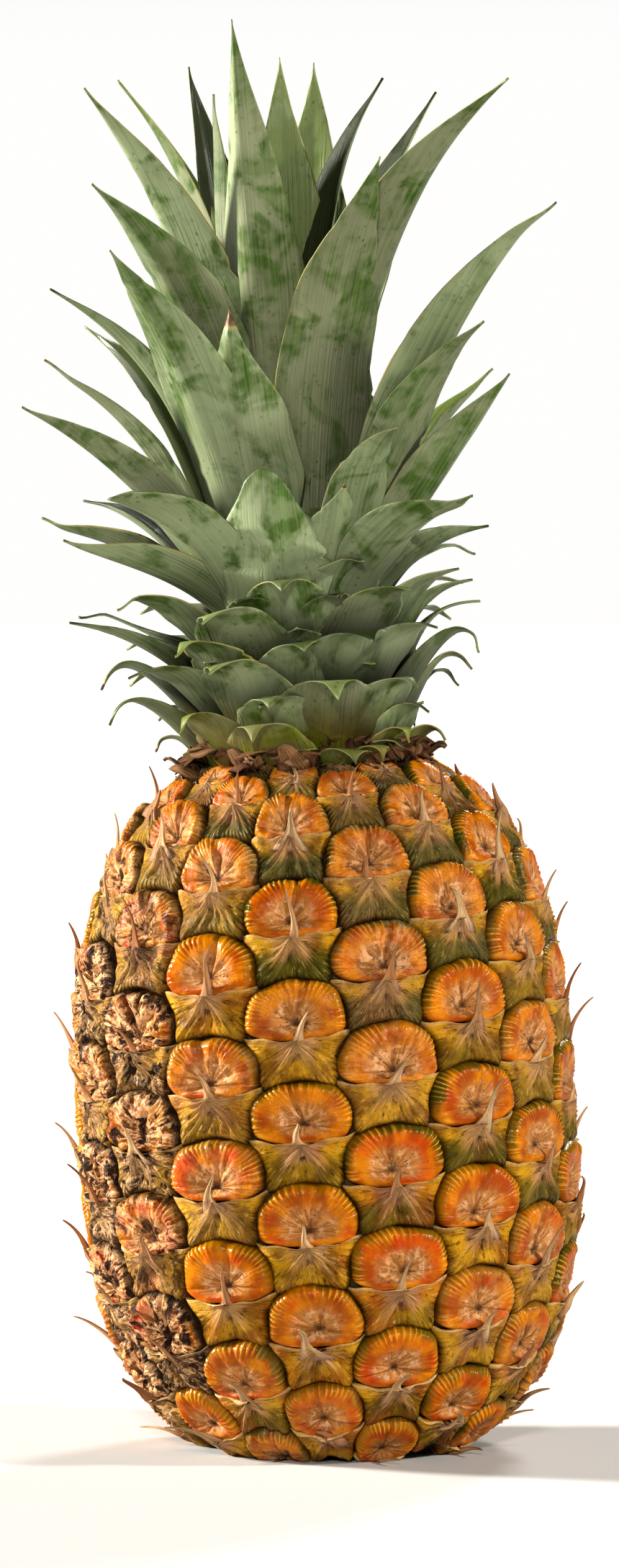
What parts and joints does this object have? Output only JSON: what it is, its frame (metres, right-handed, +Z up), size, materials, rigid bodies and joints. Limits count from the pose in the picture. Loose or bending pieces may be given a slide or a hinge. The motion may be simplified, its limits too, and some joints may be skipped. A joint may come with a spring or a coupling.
{
  "type": "pineapple",
  "caption": "Whole fresh pineapple standing upright on its flattened base, with domed eyes, dry spines and a leafy crown.",
  "frame": {"origin": "middle of the stalk's flat cut face, in the plane that the fruit stands on", "axes": "+Z straight up out of the surface, towards the crown; -Y towards the viewer of the picture; +X to the viewer's right. The fruit leans a few degrees to -X."},
  "size_m": [0.1512, 0.1454, 0.3707],
  "materials": {
    "fruit_skin": "waxy, half gloss",
    "crown_leaf": "waxy bloom, matt",
    "dry_bract": "dry, papery, matt",
    "cut_stalk": "fibrous, dry, matt"
  },
  "bodies": {
    "root": {"fruit": "fruit_skin", "crown": "crown_leaf", "bract_collar": "dry_bract", "stem_stub": "cut_stalk"}
  },
  "joints": []
}
